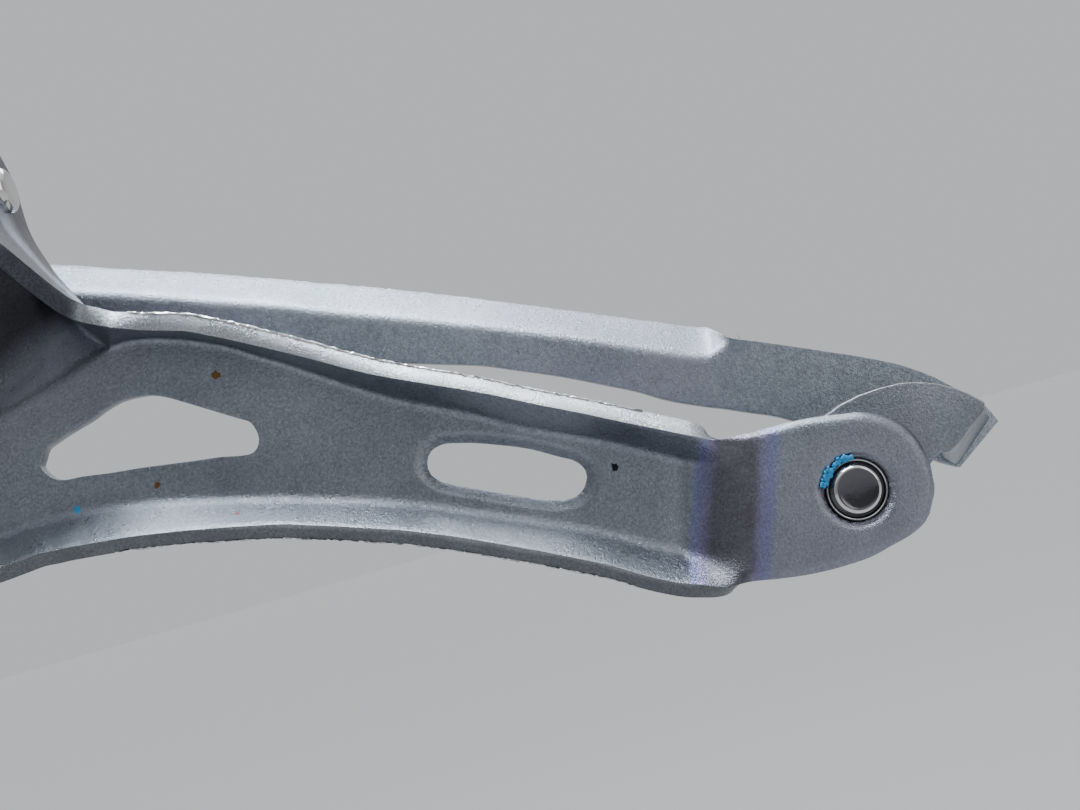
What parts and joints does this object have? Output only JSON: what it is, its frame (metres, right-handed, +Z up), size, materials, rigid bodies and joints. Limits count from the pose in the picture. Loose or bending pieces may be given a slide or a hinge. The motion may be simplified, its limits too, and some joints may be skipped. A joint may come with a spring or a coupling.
{
  "type": "front bicycle derailleur",
  "caption": "Front derailleur with a pressed steel chain cage, parallel links, return spring, limit screws, cable anchor and a threaded saddle fixing.",
  "frame": {"origin": "on the axis of the M5 fixing thread, at the bottom of the concave saddle", "axes": "+X forward along the link pivots, +Y to the bicycle's left, out of the fixing thread towards the frame's hanger, +Z up along the seat tube"},
  "size_m": [0.1155, 0.04, 0.0881],
  "materials": {
    "pressed_steel": "bead-blasted satin plate with bright sheared edges",
    "forged_alloy": "satin forged and machined alloy",
    "polished_pin_steel": "polished hardened pin steel",
    "plated_fastener": "zinc plated screw steel, darkened",
    "nylon": "black moulded nylon",
    "spring_steel": "drawn spring wire, oiled"
  },
  "bodies": {
    "mount": {"mount_body": "forged_alloy", "limit_screw_retainer": "nylon", "low_limit_screw": "plated_fastener", "high_limit_screw": "plated_fastener", "inner_link_upper_pin": "polished_pin_steel", "outer_link_upper_pin": "polished_pin_steel", "upper_pin_clips": "plated_fastener", "upper_thrust_washers": "nylon"},
    "outer_arm": {"outer_link": "forged_alloy", "cable_anchor_washer": "plated_fastener", "cable_anchor_bolt": "plated_fastener"},
    "inner_arm": {"inner_link": "forged_alloy"},
    "cage": {"inner_cage_plate": "pressed_steel", "outer_cage_plate": "pressed_steel", "cage_tail_screw": "plated_fastener", "cage_rivets": "polished_pin_steel", "inner_link_lower_pin": "polished_pin_steel", "outer_link_lower_pin": "polished_pin_steel", "lower_pin_clips": "plated_fastener", "lower_thrust_washers": "nylon", "spring_bush": "nylon", "return_spring": "spring_steel"}
  },
  "joints": [
    {"name": "outer_link_swing", "type": "hinge", "parent": "mount", "child": "outer_arm", "pos_m": [0, -0.0264, 0], "axis": [-1, 0, 0], "range_deg": [0, 33], "stiffness_Nm_per_rad": 0.12, "springref_deg": -51.57},
    {"name": "inner_link_swing", "type": "hinge", "parent": "mount", "child": "inner_arm", "pos_m": [0, -0.0144, -0.001], "axis": [-1, 0, 0], "range_deg": [0, 33]},
    {"name": "cage_swing", "type": "hinge", "parent": "outer_arm", "child": "cage", "pos_m": [0, -0.02, -0.021], "axis": [-1, 0, 0], "range_deg": [-33, 0]}
  ],
  "couplings": [
    {"joint": "inner_link_swing", "follows": "outer_link_swing", "ratio": 1},
    {"joint": "cage_swing", "follows": "outer_link_swing", "ratio": -1}
  ]
}
